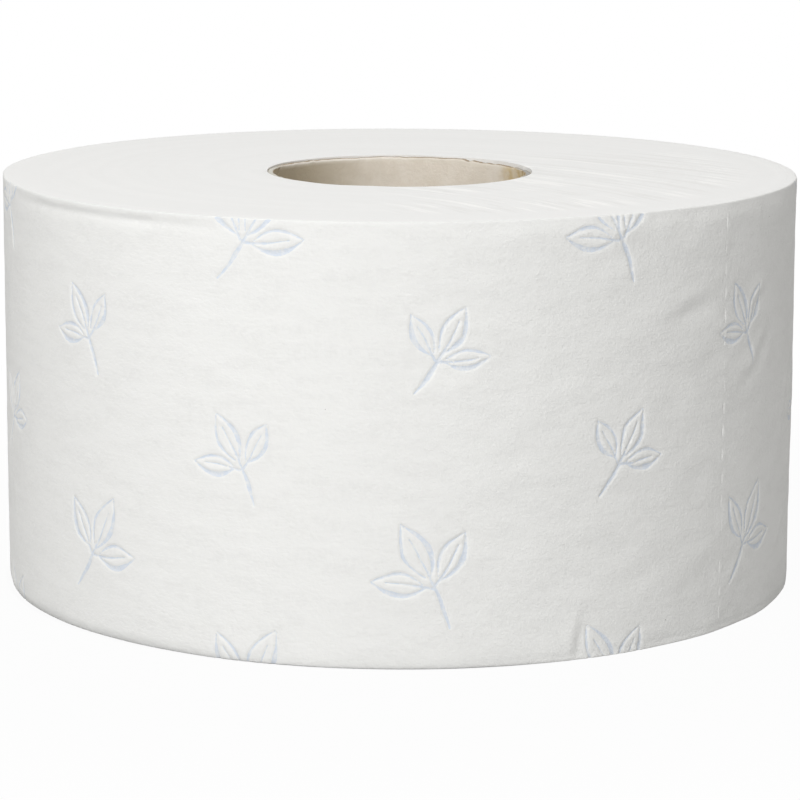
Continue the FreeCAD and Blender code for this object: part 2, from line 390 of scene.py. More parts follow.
def skinRelief(along, height):
    # how far the tissue stands out or in, without the sprigs and the cuts
    angle = frontAngle(along)
    top = roll["height"] - height
    loose = looseness(along)
    relief = 0
    for size, taut, more, across, up, seed in skin["waves"]:
        relief = relief + size * (taut + more * loose) * softNoise(along, height, across, up, seed)
    slant = -0.82 * along + 0.57 * height
    square = 0.57 * along + 0.82 * height
    folds = softNoise(slant, square, 20, 4.2, 14)
    patch = blendStep(0.1, 0.6, softNoise(along, height, 40, 34, 15))
    relief += folds * (skin["foldHeight"] * patch + skin["looseFolds"] * loose * (0.5 + 0.5 * patch))
    nearRims = np.exp(-top / 3) + np.exp(-height / 4)
    relief += skin["rimWave"] * softNoise(along, height, 13, 40, 16) * nearRims
    turnedOut = stretch("lip", angle) * (0.7 + 0.3 * softNoise(along, height, 7, 9, 17))
    groove = skin["lipGroove"] * bell(top, 2.5, 0.9)
    relief += turnedOut * (skin["lipOut"] * blendStep(1.7, 1.0, top) - groove)
    edgeWave = 0.7 + 0.3 * noiseLine(height, 14, 19)
    relief += skin["tailLift"] * edgeWave * np.exp(-along / skin["tailCurl"])
    relief -= skin["tailDip"] * bell(along, around, 5)
    drawnIn = skin["footIn"] + skin["footInLeft"] * blendStep(*skin["footLeft"], angle)
    relief -= drawnIn * bell(height, 0, skin["footReach"])
    relief -= skin["softRimIn"] * stretch("softRim", angle) * bell(top, 0, skin["softRimReach"])
    relief -= skin["grooveDepth"] * stretch("groove", angle) * bell(height, 1.4, 0.4)
    return relief + creaseRelief(angle, height)


def spiralRadius(along):
    return roll["radius"] - roll["tailStep"] * along / around


def onRoll(along, height, radius):
    angle = math.radians(roll["tailAngle"]) - along / roll["radius"]
    return np.stack([radius * np.cos(angle), radius * np.sin(angle), height + 0 * angle], axis=1)


def tileSamples(lines, spacing=0.22):
    # close samples of every line, for measuring how near a point lies to one
    points, widths = zip(*(lineAlong(shape, width, spacing) for shape, width in lines))
    return np.concatenate(points), np.concatenate(widths)


def edgeDistance(points, samples, widths):
    # distance from each point to the nearest line's edge, negative inside the line
    nearest = np.zeros(len(points))
    size = 1500  # points at a time, to spare memory
    for start in range(0, len(points), size):
        apart = points[start : start + size, None] - samples[None]
        gaps = np.hypot(apart[..., 0], apart[..., 1])
        nearest[start : start + size] = (gaps - widths[None]).min(axis=1)
    return nearest


def linePoints(lines):
    # rows of points along each line: its middle, its edges and the rise beside them
    found = []
    for shape, width in lines:
        middle, half = lineAlong(shape, width, 0.8)
        run = np.gradient(middle, axis=0)
        run /= np.hypot(run[:, 0], run[:, 1])[:, None]
        square = np.stack([-run[:, 1], run[:, 0]], axis=1)
        for share, beyond in ((0, 0), (0.75, 0), (1, 0.15), (1, 0.55)):
            for sign in (1, -1) if share else (1,):
                found.append(middle + sign * square * (half * share + beyond)[:, None])
        for end, direction in ((0, -1), (-1, 1)):
            found.append((middle[end] + direction * run[end] * (half[end] + 0.3))[None])
    return np.concatenate(found)


def tileBoundary(samples, widths, low, high):
    # points round a strip: up its sides, closer beside the rims, and along them where a line meets one
    half = tileWidth / 2
    close = np.arange(skin["closeRows"]) * skin["closePitch"]
    band = skin["closeRows"] * skin["closePitch"]
    middle = np.linspace(low + band, high - band, int((high - low - 2 * band) / skin["gridPitch"]) + 1)
    sideHeights = np.concatenate([low + close, middle, high - close[::-1]])
    across = np.linspace(-half, half, 4 * int(tileWidth / skin["gridPitch"]) + 1)[1:-1]
    rims = []
    for height in (low, high):
        row = np.stack([across, np.full(len(across), height)], axis=1)
        near = edgeDistance(row, samples, widths) < 0.8
        near[3::4] = True
        rims.append(row[near])
    sides = [np.stack([np.full(len(sideHeights), x), sideHeights], axis=1) for x in (-half, half)]
    return np.concatenate(sides + rims)


def thinned(points, spacing):
    # drops points that fall in the same small cell as an earlier one
    cells = np.round(points / spacing).astype(int)
    _, first = np.unique(cells, axis=0, return_index=True)
    return points[np.sort(first)]


def tileMesh(column):
    # triangles of one strip, with how deep each point is pressed and how much ink it has
    low, high = skin["rimRound"], roll["height"] - skin["rimRound"]
    lines = tileLines(column)
    samples, widths = tileSamples(lines)
    boundary = tileBoundary(samples, widths, low, high)
    inner = [linePoints(lines)]
    cuts = tearCuts(column)
    for x, bottom, head, _ in cuts:
        heights = np.linspace(bottom - 0.25, head + 0.25, 6)
        for aside in (0, -0.14, 0.14, -0.4, 0.4):
            inner.append(np.stack([np.full(6, x + aside), heights], axis=1))
    pitch = skin["gridPitch"]
    rise = 0.866  # height of a triangle of the grid over its side
    rowCount = int((high - low) / (pitch * rise))
    columnCount = int(tileWidth / pitch)
    rng = np.random.default_rng(column + 40)
    i, j = [part.ravel() for part in np.meshgrid(range(columnCount), range(rowCount))]
    across = (i + 0.5 + 0.5 * (j % 2)) * pitch - tileWidth / 2
    grid = np.stack([across, low + (j + 0.7) * pitch * rise], axis=1)
    grid += rng.uniform(-skin["gridStray"], skin["gridStray"], grid.shape)
    band = (skin["closeRows"] + 0.6) * skin["closePitch"]
    grid = grid[(grid[:, 1] > low + band) & (grid[:, 1] < high - band)]
    across = np.arange(-tileWidth / 2 + 1.0, tileWidth / 2 - 0.8, 1.1)
    for row in range(1, skin["closeRows"] + 1):
        for level in (low + row * skin["closePitch"], high - row * skin["closePitch"]):
            closeRow = np.stack([across + 0.5 * (row % 2), across * 0 + level], axis=1)
            grid = np.concatenate([grid, closeRow])
    clear = edgeDistance(grid, samples, widths) > skin["clearOfLines"]
    off = skin["clearOfCuts"]
    for x, bottom, head, _ in cuts:
        clear &= (np.abs(grid[:, 0] - x) > off) | (grid[:, 1] < bottom - off) | (grid[:, 1] > head + off)
    inner.append(grid[clear])
    inner = thinned(np.concatenate(inner), skin["leastPitch"])
    x, z = inner.T
    inside = (np.abs(x) < tileWidth / 2 - 0.5) & (z > low + 0.3) & (z < high - 0.3)
    points = np.concatenate([boundary, inner[inside]])
    made = delaunay_2d_cdt([Vector(p) for p in points], [], [], 0, 1e-6)
    points = np.array([tuple(p) for p in made[0]])
    return points, made[2], samples, widths, cuts


def pressed(column, points, samples, widths, cuts):
    # relief and ink of the sprigs and the tear lines at each point of a strip
    edge = edgeDistance(points, samples, widths)
    relief = -sprigs["depth"] * blendStep(0.2, -0.16, edge)
    relief += sprigs["shoulder"] * (bell(edge, 0.45, 0.3) + 0.6 * bell(edge, 1.6, 1.0))
    ink = np.clip(0.5 - edge / sprigs["inkRamp"], 0, 1)
    across, up = points.T
    for x in tearPlaces(column):
        fade = 0.5 + 0.5 * noiseLine(up, 6, 71)
        relief += tear["ridge"] * fade * bell(across, x, 0.9)
    for x, bottom, head, strength in cuts:
        within = blendStep(bottom - 0.3, bottom + 0.1, up) * blendStep(head + 0.3, head - 0.1, up)
        cut = tear["lip"] * bell(across, x + 0.35, 0.2) - tear["depth"] * bell(across, x, 0.13)
        relief += strength * within * cut
    return relief, ink


def bridgeRings(outer, outerPlaces, inner, innerPlaces):
    # triangles between two open rows of points that run the same way at different spacings
    faces = []
    i = j = 0
    while i < len(outer) - 1 or j < len(inner) - 1:
        outerNext = outerPlaces[i + 1] if i < len(outer) - 1 else math.inf
        innerNext = innerPlaces[j + 1] if j < len(inner) - 1 else math.inf
        if outerNext <= innerNext:
            faces.append((outer[i], outer[i + 1], inner[j]))
            i += 1
        else:
            faces.append((outer[i], inner[j + 1], inner[j]))
            j += 1
    return faces


def layOutSide():
    # the pressed side, strip by strip: rows of along, height, relief and ink, the faces,
    # and the numbers of the points on the seams that two strips share
    rows, faces, seams = [], [], {}
    for column in range(sprigs["columns"]):
        points, triangles, samples, widths, cuts = tileMesh(column)
        relief, ink = pressed(column, points, samples, widths, cuts)
        numbers = []
        for (x, z), r, k in zip(points, relief, ink):
            onSeam = abs(abs(x) - tileWidth / 2) < 1e-4
            key = (column + (x < 0), round(z, 3)) if onSeam else None
            if key in seams:
                numbers.append(seams[key])
                continue
            if key:
                seams[key] = len(rows)
            numbers.append(len(rows))
            rows.append(((column + 0.5) * tileWidth - x, z, r, k))
        faces += [tuple(numbers[v] for v in face) for face in triangles]
    print("side laid out:", len(rows), "points")
    return np.array(rows).T, faces, seams


def seamColumn(seams, heights, column):
    # the points on one seam, from the foot up
    return [n for _, n in sorted((heights[n], n) for key, n in seams.items() if key[0] == column)]


def quadsBetween(first, second):
    # faces between two closed rows of points with the same spacing
    count = len(first)
    return [(first[n], first[(n + 1) % count], second[(n + 1) % count], second[n]) for n in range(count)]


def makeOuterTurns(sideTissue, endTissue):
    # one closed skin: the pressed side, its rounded rims, the end lands and a plain back
    (along, heights, reliefs, inks), faces, seams = layOutSide()
    reliefs = reliefs + skinRelief(along, heights)
    points = [onRoll(along, heights, spiralRadius(along) + reliefs)]
    places = [np.stack([along, heights], axis=1)]
    inkRows = [inks]
    tail = seamColumn(seams, heights, 0)
    far = seamColumn(seams, heights, sprigs["columns"])
    faces += zip(tail, tail[1:], far[1:], far)
    kinds = [0] * len(faces)  # number of each face's material

    total = len(along)
    rimRound, rimRows = skin["rimRound"], skin["rimRows"]
    innerAlong = np.arange(skin["innerCount"]) * around / skin["innerCount"]
    innerRings = []
    for level, up in ((roll["height"] - rimRound, 1), (rimRound, -1)):
        ring = np.flatnonzero(np.abs(heights - level) < 1e-4)
        ring = ring[np.lexsort((ring == far[0 if up < 0 else -1], along[ring]))]
        rows = [ring]
        for row in range(1, rimRows + 2):  # round the rim, and last the inner edge of the land
            share = min(row / rimRows, 1)
            bend = share * math.pi / 2
            place, ink = along[ring], inks[ring] * (1 - share)
            radius = spiralRadius(place) + reliefs[ring] - rimRound * (1 - math.cos(bend))
            if row > rimRows:
                place, ink = innerAlong, innerAlong * 0
                radius = roll["radius"] - skin["thickness"] + ink
            height = np.full(len(place), level + up * rimRound * math.sin(bend))
            made = onRoll(place, height, radius)
            made[:, 2] += endRise(made[:, 0], made[:, 1], up) * share**2
            points.append(made)
            places.append(np.stack([place, height], axis=1))
            inkRows.append(ink)
            rows.append(list(range(total, total + len(place))))
            total += len(place)
        for before, after in zip(rows, rows[1:-1]):
            faces += quadsBetween(before, after)
            kinds += [0] * len(ring)
        outer, inner = rows[-2:]
        innerRings.append(inner)
        lands = bridgeRings(outer, along[ring], inner + inner[:1], np.append(innerAlong, around))
        lands.append((outer[-1], outer[0], inner[0]))
        faces += lands
        kinds += [1] * len(lands)
    faces += quadsBetween(*innerRings)
    kinds += [0] * len(innerAlong)

    points = np.concatenate(points)
    piece = makePiece("outer_turns", points, faces, [sideTissue, endTissue], kinds)
    flat = np.concatenate(places)
    store(piece, "ink", np.concatenate(inkRows))
    store(piece, "loose", looseness(flat[:, 0]))
    unrolled = np.column_stack([flat / mmPerMetre, np.zeros(len(flat))])
    store(piece, "unrolled", unrolled, "FLOAT_VECTOR", "vector")
    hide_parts("paper_roll")


# The turns inside: a closed ring between the core and the outer turns


windings = {
    "seatGap": 0.012,  # between this ring and its neighbours
    "ringPitch": 0.56,
    "segments": 300,
    "coreFlare": 0.20,  # how far the first turns sink beside the core
    "flareReach": 0.7,
}


def makeWoundTurns(endTissue):
    inner = roll["coreRadius"] + windings["seatGap"]
    outer = roll["radius"] - skin["thickness"] - windings["seatGap"]
    rings = np.linspace(inner, outer, int((outer - inner) / windings["ringPitch"]) + 1)
    turn = np.arange(windings["segments"]) * 2 * math.pi / windings["segments"]
    radius, angle = [grid.ravel() for grid in np.meshgrid(rings, turn, indexing="ij")]
    x, y = radius * np.cos(angle), radius * np.sin(angle)
    sink = windings["coreFlare"] * bell(radius, inner, windings["flareReach"])
    sink *= 0.6 + 0.4 * softNoise(angle * 20, radius, 6, 4, 52)
    top = roll["height"] + endRise(x, y, 1) - sink
    foot = endRise(x, y, -1) + sink
    points = np.concatenate([np.stack([x, y, top], axis=1), np.stack([x, y, foot], axis=1)])
    top, foot = np.arange(2 * len(x)).reshape(2, len(rings), -1).tolist()
    faces = quadsBetween(top[0], foot[0]) + quadsBetween(top[-1], foot[-1])
    for ring in range(len(rings) - 1):
        faces += quadsBetween(top[ring], top[ring + 1])
        faces += quadsBetween(foot[ring + 1], foot[ring])
    piece = makePiece("wound_turns", points, faces, [endTissue])
    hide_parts("paper_roll")


# The board core: a spiral-wound tube with cut ends


core = {
    "innerRadius": 30.0,
    "edgeRound": 0.22,
    "segments": 288,
    "wallRows": 30,
    "stepAngle": 53.0,  # right of here the top edge lies lower
    "stepEnd": -8.0,
    "stepDepth": 0.45,
    "nickDepth": 0.45,  # a small torn nick beside the step
    "frayed": 0.10,
}


def makeCoreBoard(board):
    inner = core["innerRadius"]
    outer = roll["coreRadius"]
    low, high = coreLow.z * mmPerMetre, coreHigh.z * mmPerMetre
    rounded = core["edgeRound"]
    # radius, height, share of the top edge's unevenness, brown inner lip, outer lip
    profile = [(inner, z, 0, 0, 0) for z in np.linspace(low + rounded, high - 6, core["wallRows"])]
    profile += [
        (inner, high - 3.5, 0.2, 0, 0),
        (inner, high - 2, 0.5, 0, 0),
        (inner, high - 1.2, 0.8, 0, 0),
        (inner, high - 0.6, 1, 0.4, 0),
        (inner, high - rounded, 1, 1, 0),
        (inner + 0.3 * rounded, high - 0.3 * rounded, 1, 1, 0),
        (inner + rounded, high, 1, 0.2, 0),
        *[(inner + (outer - inner) * share, high, 1, 0, 0) for share in (0.35, 0.6, 0.78)],
        (outer - rounded, high - 0.02, 1, 0, 1),
        (outer, high - rounded, 1, 0, 1),
        (outer, high - 2.5, 0.3, 0, 0.2),
        (outer, low + rounded, 0, 0, 0),
        (outer - rounded, low, 0, 0, 0.3),
        (inner + rounded, low, 0, 0.5, 0),
    ]
    turn = np.arange(core["segments"]) * 2 * math.pi / core["segments"]
    degrees = (np.degrees(turn) + 90) % 360 - 90
    step = core["stepDepth"] * blendStep(core["stepAngle"] + 1.5, core["stepAngle"] - 1.5, degrees)
    step *= blendStep(core["stepEnd"] - 8, core["stepEnd"] + 8, degrees)
    nick = core["nickDepth"] * bell(degrees, core["stepAngle"] + 3, 1.8)
    ragged = noiseLine(degrees, 3, 61) + 0.6 * noiseLine(degrees, 9, 62)
    drop = step + nick + core["frayed"] * (1.2 + ragged)
    points = []
    for row, (radius, z, uneven, _, _) in enumerate(profile):
        wobble = 0.04 * softNoise(turn * 30, np.full(len(turn), z), 9, 12, 63)
        r = radius + (wobble if radius < outer - 0.1 else 0)
        height = np.minimum(z - uneven * drop + uneven * 0.05 * noiseLine(degrees, 5, 64, row), high)
        points.append(np.stack([r * np.cos(turn), r * np.sin(turn), height], axis=1))
    numbers = np.arange(len(profile) * len(turn)).reshape(len(profile), len(turn)).tolist()
    faces = []
    for row, after in zip(numbers, numbers[1:] + numbers[:1]):
        faces += quadsBetween(row, after)
    piece = makePiece("core_board", np.concatenate(points), faces, [board], sharpAngle=60)
    for name, column in (("inner_lip", 3), ("outer_lip", 4)):
        store(piece, name, np.repeat([row[column] for row in profile], len(turn)))
    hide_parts("core_tube")


# Shader helpers


def newMaterial(name):
    material = bpy.data.materials.new(name)
    material.use_nodes = True
    material.node_tree.nodes.clear()
    return material, material.node_tree


def feed(socket, value):
    # links another node's output, or sets the socket's own value
    if isinstance(value, bpy.types.NodeSocket):
        socket.id_data.links.new(value, socket)
    else:
        socket.default_value = value


def addNode(tree, kind, inputs=None, **settings):
    node = tree.nodes.new(kind)
    for key, value in settings.items():
        setattr(node, key, value)
    for name, value in (inputs or {}).items():
        feed(node.inputs[name], value)
    return node


# Each of these adds its node to the tree that the socket it is given stands in (id_data).


def calculated(operation, first, *others):
    inputs = dict(enumerate((first, *others)))
    return addNode(first.id_data, "ShaderNodeMath", inputs, operation=operation).outputs[0]


def times(first, second):
    return calculated("MULTIPLY", first, second)


def summed(*parts):
    # adds up values, each with its share
    total = None
    for value, share in parts:
        part = value if share == 1 else times(value, share)
        total = part if total is None else calculated("ADD", total, part)
    return total


def noiseOf(vector, scale, detail=2.0, roughness=0.5, distortion=0.0):
    inputs = {"Vector": vector, "Scale": scale, "Detail": detail, "Roughness": roughness}
    inputs["Distortion"] = distortion
    return addNode(vector.id_data, "ShaderNodeTexNoise", inputs).outputs["Fac"]


def stretched(vector, share):
    # squeezed along the first axis, so that a texture grows long there
    inputs = {"Vector": vector, "Scale": (share, 1.0, 1.0)}
    return addNode(vector.id_data, "ShaderNodeMapping", inputs).outputs["Vector"]


def ranged(value, low, high, newLow=0.0, newHigh=1.0):
    inputs = {"Value": value, "From Min": low, "From Max": high, "To Min": newLow, "To Max": newHigh}
    settings = {"interpolation_type": "SMOOTHSTEP"}
    return addNode(value.id_data, "ShaderNodeMapRange", inputs, **settings).outputs["Result"]


def mixed(factor, first, second):
    # the factor and the two colours are the node's inputs 0, 6 and 7
    inputs = {0: factor, 6: first, 7: second}
    return addNode(factor.id_data, "ShaderNodeMix", inputs, data_type="RGBA").outputs[2]


def layered(colour, *layers):
    # lays colours over the first, each where its mask shows and with its share
    for over, mask, share in layers:
        colour = mixed(mask if share == 1 else times(mask, share), colour, over)
    return colour


def raised(height, distance):
    inputs = {"Height": height, "Distance": distance, "Strength": 1.0}
    return addNode(height.id_data, "ShaderNodeBump", inputs).outputs["Normal"]


def arcsAbout(x, y, climb, stretch):
    # the distance from a point, and a place that runs along arcs about it
    radius = calculated("SQRT", summed((times(x, x), 1), (times(y, y), 1)))
    angle = calculated("ARCTAN2", y, x)
    inputs = {0: summed((radius, 1), (angle, climb)), 1: times(angle, stretch)}
    return radius, addNode(x.id_data, "ShaderNodeCombineXYZ", inputs).outputs[0]


def finished(shader, kind="ShaderNodeOutputMaterial"):
    addNode(shader.id_data, kind, {"Surface": shader.outputs[0]})


def placeGroup(group, vector, values):
    return addNode(vector.id_data, "ShaderNodeGroup", {"Vector": vector, **values}, node_tree=group).outputs


def stored(tree, name, output="Fac"):
    return addNode(tree, "ShaderNodeAttribute", attribute_name=name).outputs[output]


def objectPlace(tree):
    # the place on the object, whole and as x, y and z
    place = addNode(tree, "ShaderNodeTexCoord").outputs["Object"]
    return place, addNode(tree, "ShaderNodeSeparateXYZ", {0: place}).outputs


def newGroup(name, inputs, outputs):
    # an input with no value is a vector, every other socket a number
    group = bpy.data.node_groups.new(name, "ShaderNodeTree")
    for socketName, value in inputs.items():
        kind = "NodeSocketVector" if value is None else "NodeSocketFloat"
        socket = group.interface.new_socket(socketName, in_out="INPUT", socket_type=kind)
        if value is not None:
            socket.default_value = value
    for socketName in outputs:
        group.interface.new_socket(socketName, in_out="OUTPUT", socket_type="NodeSocketFloat")
    return group, addNode(group, "NodeGroupInput"), addNode(group, "NodeGroupOutput")


groupNumbers = {
    "heights": (0.5, 0.7),  # of the fine grain and the clumps
    "shades": (0.5, 0.5),
    "shadeEdges": (0.34, 0.66),  # where the fibres' shade runs from none to full
    "bareCells": 0.55,  # share of the flecks' cells that stay empty
}


def makeFibreGroup():
    # loose fibres and the clumps they lie in: a height for bump and a shade for colour
    inputs = {"Vector": None, "Fine": 1300.0, "Coarse": 420.0}
    group, start, end = newGroup("fibres", inputs, ("Height", "Shade"))
    vector, fine, coarse = start.outputs[:3]
    grain = noiseOf(vector, fine, 3.0, 0.6)
    clumps = noiseOf(vector, coarse, 3.0, 0.55, 0.15)
    height = summed(*zip((grain, clumps), groupNumbers["heights"]))
    shade = summed(*zip((grain, clumps), groupNumbers["shades"]))
    feed(end.inputs["Height"], height)
    feed(end.inputs["Shade"], ranged(shade, *groupNumbers["shadeEdges"]))
    return group


def makeFleckGroup():
    # sparse specks: a mask that is one on a few tiny spots
    inputs = {"Vector": None, "Spacing": 140.0, "Size": 0.03}
    group, start, end = newGroup("flecks", inputs, ("Mask",))
    vector, spacing, size = start.outputs[:3]
    cells = addNode(group, "ShaderNodeTexVoronoi", {"Vector": vector, "Scale": spacing}, feature="F1")
    chosen = addNode(group, "ShaderNodeSeparateColor", {"Color": cells.outputs["Color"]}).outputs
    smaller = times(size, chosen["Green"])
    spot = calculated("LESS_THAN", cells.outputs["Distance"], smaller)
    kept = calculated("GREATER_THAN", chosen["Red"], groupNumbers["bareCells"])
    feed(end.inputs["Mask"], times(spot, kept))
    return group


# Materials


tissueLook = {
    "paper": (0.862, 0.866, 0.854, 1),
    "paperShade": (0.810, 0.813, 0.801, 1),
    # the cut ends' paper is lighter than the side's: partly the ends' own whiteness, partly painted light
    # on the top
    "endPaperWithPaintedLight": (0.909, 0.912, 0.907, 1),
    "endShadeWithPaintedLight": (0.862, 0.865, 0.859, 1),
    "ink": (0.69, 0.745, 0.825, 1),
    "fleck": (0.38, 0.37, 0.35, 1),
    "roughness": 0.92,
    "sheen": 0.05,
    "specular": 0.08,
    "sideFibres": {"Fine": 1250.0, "Coarse": 430.0},
    "sideFlecks": {"Spacing": 150.0, "Size": 0.034},
    "sideMottle": 0.7,  # how far the shaded colour comes through
    "sideFleckShare": 0.6,
    "crepeScale": 1500.0,
    "crepeStretch": 0.4,
    "crepeHeight": 0.35,
    "streakScale": 240.0,
    "streakStretch": 0.3,
    "streakEdges": (0.38, 0.62),
    "streakHeight": 1.1,
    "inkStrayScale": 1100.0,
    "inkStray": 0.5,  # how far the edge of the ink wanders
    "inkEdges": (0.40, 0.66),
    "wornScale": 500.0,
    "wornRange": (0.32, 0.60, 0.35, 1.0),  # the third is the least ink that is left
    "pimpleScale": 1400.0,  # pimples and grain that show only where the turn lies loose
    "pimpleRange": (0.0, 0.75, 1.0, 0.0),
    "pimpleHeight": 0.17,
    "looseScale": 2600.0,
    "looseHeight": 0.40,
    "sideBump": 0.00016,
    "endFibres": {"Fine": 1500.0, "Coarse": 300.0},
    "endFlecks": {"Spacing": 110.0, "Size": 0.03},
    "endMottle": 0.6,
    "endFleckShare": 0.45,
    "turnClimb": 0.0006,  # how the cut turns wind outwards
    "turnStretch": 0.0009,
    "turnScale": 1500.0,
    "turnHeight": 0.5,
    "bandScale": 260.0,
    "bandEdges": (0.35, 0.65),
    "bandHeight": 0.7,
    "endShades": (0.3, 0.3, 0.35),  # of the fibres, the turns and the bands
    "fibreHeight": 0.5,
    "endBump": 0.00011,
}


def tissueShader(tree, colour, normal):
    inputs = {"Base Color": colour, "Normal": normal, "Roughness": tissueLook["roughness"]}
    inputs["Sheen Weight"] = tissueLook["sheen"]
    inputs["Specular IOR Level"] = tissueLook["specular"]
    finished(addNode(tree, "ShaderNodeBsdfPrincipled", inputs))


def makeSideTissue(fibres, flecks):
    # creped and lightly pressed paper, with worn ink in the lines of the sprigs
    look = tissueLook
    material, tree = newMaterial("tissue_side")
    place = stored(tree, "unrolled", "Vector")
    grain = placeGroup(fibres, place, look["sideFibres"])
    longer = stretched(place, look["crepeStretch"])
    crepe = noiseOf(longer, look["crepeScale"], roughness=0.6)
    longer = stretched(place, look["streakStretch"])
    streaks = noiseOf(longer, look["streakScale"], 3.0, 0.55)
    shade = times(grain["Shade"], ranged(streaks, *look["streakEdges"]))
    specks = placeGroup(flecks, place, look["sideFlecks"])

    centred = calculated("SUBTRACT", noiseOf(place, look["inkStrayScale"]), 0.5)
    inked = summed((stored(tree, "ink"), 1), (centred, look["inkStray"]))
    inked = ranged(inked, *look["inkEdges"])
    worn = ranged(noiseOf(place, look["wornScale"], 3.0, 0.7), *look["wornRange"])
    colour = layered(
        look["paper"],
        (look["paperShade"], shade, look["sideMottle"]),
        (look["fleck"], specks["Mask"], look["sideFleckShare"]),
        (look["ink"], inked, worn),
    )

    inputs = {"Vector": place, "Scale": look["pimpleScale"]}
    cells = addNode(tree, "ShaderNodeTexVoronoi", inputs, feature="F1")
    pimples = ranged(cells.outputs["Distance"], *look["pimpleRange"])
    fine = noiseOf(place, look["looseScale"], roughness=0.6)
    rough = summed((pimples, look["pimpleHeight"]), (fine, look["looseHeight"]))
    relief = summed(
        (grain["Height"], 1),
        (crepe, look["crepeHeight"]),
        (streaks, look["streakHeight"]),
        (rough, stored(tree, "loose")),
    )
    tissueShader(tree, colour, raised(relief, look["sideBump"]))
    return material


sawMarks = {
    "centre": (-0.065, -0.117),  # the saw's marks are arcs about this point
    "spacing": 370.0,
    "stretch": 0.008,  # the smaller, the longer the marks
    "right": (-0.010, 0.014),  # the marks set in between these two x,
    "behind": (0.046, 0.022),  # these two y
    "rim": (0.086, 0.074),  # and these two radii
    "patchScale": 38.0,
    "patchEdges": (0.30, 0.46),
    "least": 0.06,  # strength of the marks elsewhere
    "ridgeEdges": (0.54, 0.62),
    "ridgeHeight": 0.9,
    "furrowEdges": (0.47, 0.40),
    "furrowShade": 0.40,
    "furrowHeight": -0.45,
    # painted highlight on the ridges of the saw's marks, and painted shade in their furrows
    "light": (0.975, 0.975, 0.965, 1),
    "dark": (0.80, 0.795, 0.78, 1),
}


def makeEndTissue(fibres, flecks):
    # the cut edges of the turns, with the saw's marks across them, whose ridges and furrows are bumped and
    # also carry a painted highlight and painted shade
    look = tissueLook
    material, tree = newMaterial("tissue_end")
    place, (x, y, _) = objectPlace(tree)
    radius, spiral = arcsAbout(x, y, look["turnClimb"], look["turnStretch"])
    turns = noiseOf(spiral, look["turnScale"], 4.0, 0.65)
    bands = noiseOf(spiral, look["bandScale"])

    sawX = calculated("SUBTRACT", x, sawMarks["centre"][0])
    sawY = calculated("SUBTRACT", y, sawMarks["centre"][1])
    _, saw = arcsAbout(sawX, sawY, 0, sawMarks["stretch"])
    sawn = noiseOf(saw, sawMarks["spacing"], 3.0, 0.55)
    region = ranged(noiseOf(place, sawMarks["patchScale"], 1.0), *sawMarks["patchEdges"])
    for axis, edges in ((x, "right"), (y, "behind")):
        region = times(region, ranged(axis, *sawMarks[edges]))
    region = calculated("MULTIPLY_ADD", region, 1 - sawMarks["least"], sawMarks["least"])
    region = times(region, ranged(radius, *sawMarks["rim"]))
    ridges = times(ranged(sawn, *sawMarks["ridgeEdges"]), region)
    furrows = times(ranged(sawn, *sawMarks["furrowEdges"]), region)

    grain = placeGroup(fibres, place, look["endFibres"])
    parts = (grain["Shade"], turns, ranged(bands, *look["bandEdges"]))
    shade = summed(*zip(parts, look["endShades"]))
    specks = placeGroup(flecks, place, look["endFlecks"])
    # the ends' paper colours are partly painted light, lighter than the side's paper
    colour = layered(
        look["endPaperWithPaintedLight"],
        (look["endShadeWithPaintedLight"], shade, look["endMottle"]),
        # painted shade in the furrows and painted highlight on the ridges of the saw's marks
        (sawMarks["dark"], furrows, sawMarks["furrowShade"]),
        (sawMarks["light"], ridges, 1),
        (look["fleck"], specks["Mask"], look["endFleckShare"]),
    )
    relief = summed(
        (turns, look["turnHeight"]),
        (bands, look["bandHeight"]),
        (grain["Height"], look["fibreHeight"]),
        (ridges, sawMarks["ridgeHeight"]),
        (furrows, sawMarks["furrowHeight"]),
    )
    tissueShader(tree, colour, raised(relief, look["endBump"]))
    return material


boardLook = {
    "board": (0.860, 0.805, 0.725, 1),
    "boardDark": (0.76, 0.695, 0.60, 1),
    # partly a stain, partly painted shade: darker board inside the left of the hole
    "stainAndShade": (0.47, 0.405, 0.29, 1),  # darker board inside the left of the hole
    "cutEdge": (0.63, 0.62, 0.565, 1),
    # browner on the cut edge at the back
    "cutBack": (0.31, 0.24, 0.16, 1),
    "tip": (0.33, 0.33, 0.325, 1),
    "lip": (0.32, 0.235, 0.14, 1),
    # painted highlight along the inner lip at the back of the hole
    "lipHighlight": (0.95, 0.90, 0.83, 1),
    "glue": (0.64, 0.50, 0.27, 1),
    "spot": (0.25, 0.18, 0.10, 1),
    "roughness": 0.85,
    "specular": 0.25,
    "bump": 0.00026,
    "fibres": {"Fine": 1300.0, "Coarse": 260.0},
    "flecks": {"Spacing": 300.0, "Size": 0.09},
    "mottle": (170.0, 6.0, 0.72, 0.3),  # scale, detail, roughness and distortion
    "mottleEdges": (0.34, 0.66),
    "tornScale": 420.0,
    "tornEdges": (0.30, 0.60),
    "seamPitch": 0.105,  # rise of the wound seam in one turn
    "seamStart": 0.13,
    "seamEdges": (0.006, 0.0),
    "stainAndShadeX": (-0.0005, -0.0288),  # from here on: where each mark sets in, in metres
    "glueX": (0.0235, 0.0275),
    "glueZ": (0.080, 0.090),
    "cutBackY": (0.006, 0.015),
    "tipX": (0.0280, 0.0300),
    "spotY": (-0.020, -0.027),
    "lipHighlightY": (0.004, 0.014),
    "lipHighlightX": (0.006, -0.004, 0.15, 1.0),
    "lipY": (0.014, 0.004),
    "behindY": (-0.006, 0.010),
    "behindX": (0.014, -0.004, 0.4, 1.0),
}


